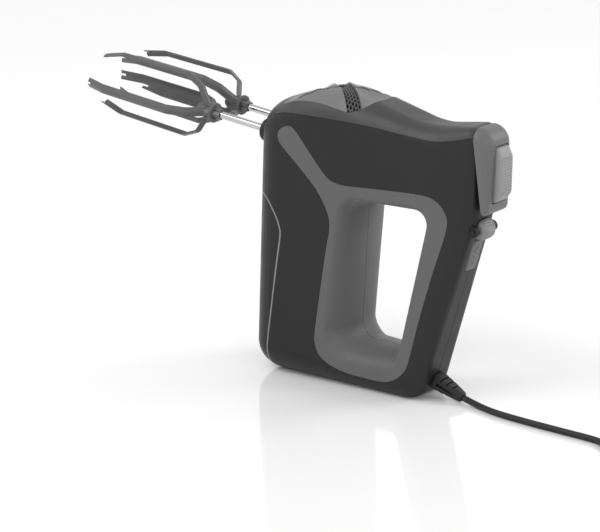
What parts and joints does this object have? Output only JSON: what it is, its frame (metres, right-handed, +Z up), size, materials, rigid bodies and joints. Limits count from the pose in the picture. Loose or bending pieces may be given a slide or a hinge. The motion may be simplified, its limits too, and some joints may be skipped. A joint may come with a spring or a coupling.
{
  "type": "hand mixer",
  "caption": "Upright hand mixer with a closed loop handle, interleaving beaters on a worm drive, thumb eject, speed and turbo controls, and a coiled mains lead with its plug.",
  "frame": {"origin": "middle plane of the body at the heel's flat rest face, under the motor, at the height of the surface it stands on", "axes": "+Z up, from the heel to the nose; the beaters reach towards -X and the handle is on the +X side; Y is across the body, and its left half is on the -Y side"},
  "size_m": [0.5157, 0.1137, 0.1997],
  "materials": {
    "housing": "fine moulded texture",
    "front_cover": "fine moulded texture",
    "top_cover": "satin",
    "nose": "satin",
    "vent": "satin",
    "mesh": "matte",
    "grip": "soft touch",
    "trim": "satin",
    "bezel": "satin",
    "button": "ribbed",
    "dial": "satin",
    "collar": "matte",
    "screw_steel": "zinc plated",
    "shaft_steel": "polished",
    "tine": "satin",
    "casting": "die cast",
    "bracket": "pressed sheet",
    "lamination": "stacked sheet",
    "copper": "enamelled wire",
    "bronze": "sintered",
    "brass": "pressed",
    "carbon": "matte",
    "gear": "natural acetal",
    "fan": "moulded",
    "spring": "wire",
    "switch": "moulded",
    "board": "lacquered",
    "capacitor": "moulded",
    "lead": "insulation",
    "cord": "matte",
    "plug": "moulded"
  },
  "bodies": {
    "housing": {"left_housing": "housing", "right_housing": "housing", "top_cover": "top_cover", "nose_plate": "nose", "front_cover": "front_cover", "vent_insert": "vent", "vent_mesh": "mesh", "left_grip_inlay": "grip", "right_grip_inlay": "grip", "left_trim_strip": "trim", "right_trim_strip": "trim", "control_bezel": "bezel", "port_collars": "collar", "housing_screws": "screw_steel", "gearbox_frame": "casting", "gearbox_screws": "screw_steel", "upper_motor_bracket": "bracket", "lower_motor_bracket": "bracket", "motor_screws": "screw_steel", "stator_core": "lamination", "field_coils": "copper", "motor_bushes": "bronze", "brush_holders": "brass", "carbon_brushes": "carbon", "brush_springs": "spring", "eject_spring": "spring", "dial_axle": "shaft_steel", "dial_bracket": "switch", "turbo_spring": "spring", "turbo_switch": "switch", "circuit_board": "board", "suppression_capacitor": "capacitor", "choke_coils": "copper", "motor_leads": "lead", "inner_mains_lead": "cord", "cord_clamp": "switch", "clamp_screws": "screw_steel", "strain_relief": "plug", "cord": "cord", "cord_coil": "cord", "cord_tie": "switch", "plug_body": "plug", "plug_pins": "brass"},
    "rotor": {"motor_shaft": "shaft_steel", "rotor_core": "lamination", "rotor_windings": "copper", "commutator": "copper", "cooling_fan": "fan"},
    "left_spindle": {"left_drive_gear": "gear", "left_spindle_clip": "spring"},
    "right_spindle": {"right_drive_gear": "gear", "right_spindle_clip": "spring"},
    "left_beater": {"left_beater_shaft": "shaft_steel", "left_beater_head": "tine"},
    "right_beater": {"right_beater_shaft": "shaft_steel", "right_beater_head": "tine"},
    "ejector": {"eject_button": "button", "ejector_yoke": "gear"},
    "speed_selector": {"speed_dial": "dial"},
    "turbo_key": {"turbo_button": "dial"}
  },
  "joints": [
    {"name": "rotor_spin", "type": "hinge", "parent": "housing", "child": "rotor", "pos_m": [-0.033, 0, 0.1615], "axis": [0.1045, 0, 0.9945], "continuous": true},
    {"name": "left_spindle_spin", "type": "hinge", "parent": "housing", "child": "left_spindle", "pos_m": [-0.033, -0.015, 0.1615], "axis": [0.9945, 0, -0.1045], "continuous": true},
    {"name": "right_spindle_spin", "type": "hinge", "parent": "housing", "child": "right_spindle", "pos_m": [-0.033, 0.015, 0.1615], "axis": [0.9945, 0, -0.1045], "continuous": true},
    {"name": "left_beater_slide", "type": "slide", "parent": "left_spindle", "child": "left_beater", "axis": [-0.9945, 0, 0.1045], "range_m": [0, 0.045]},
    {"name": "right_beater_slide", "type": "slide", "parent": "right_spindle", "child": "right_beater", "axis": [-0.9945, 0, 0.1045], "range_m": [0, 0.045]},
    {"name": "eject_press", "type": "slide", "parent": "housing", "child": "ejector", "axis": [-0.9945, 0, 0.1045], "range_m": [0, 0.005], "stiffness_N_per_m": 900, "deforming": ["eject_spring"]},
    {"name": "speed_dial_turn", "type": "hinge", "parent": "housing", "child": "speed_selector", "pos_m": [0.1008, 0, 0.121], "axis": [0, 1, 0], "range_deg": [0, 120]},
    {"name": "turbo_press", "type": "slide", "parent": "housing", "child": "turbo_key", "axis": [-0.9593, 0, 0.2823], "range_m": [0, 0.0015], "stiffness_N_per_m": 1500, "deforming": ["turbo_spring"]}
  ],
  "couplings": [
    {"joint": "left_spindle_spin", "follows": "rotor_spin", "ratio": -0.066667},
    {"joint": "right_spindle_spin", "follows": "rotor_spin", "ratio": 0.066667},
    {"joint": "right_beater_slide", "follows": "left_beater_slide", "ratio": 1}
  ]
}
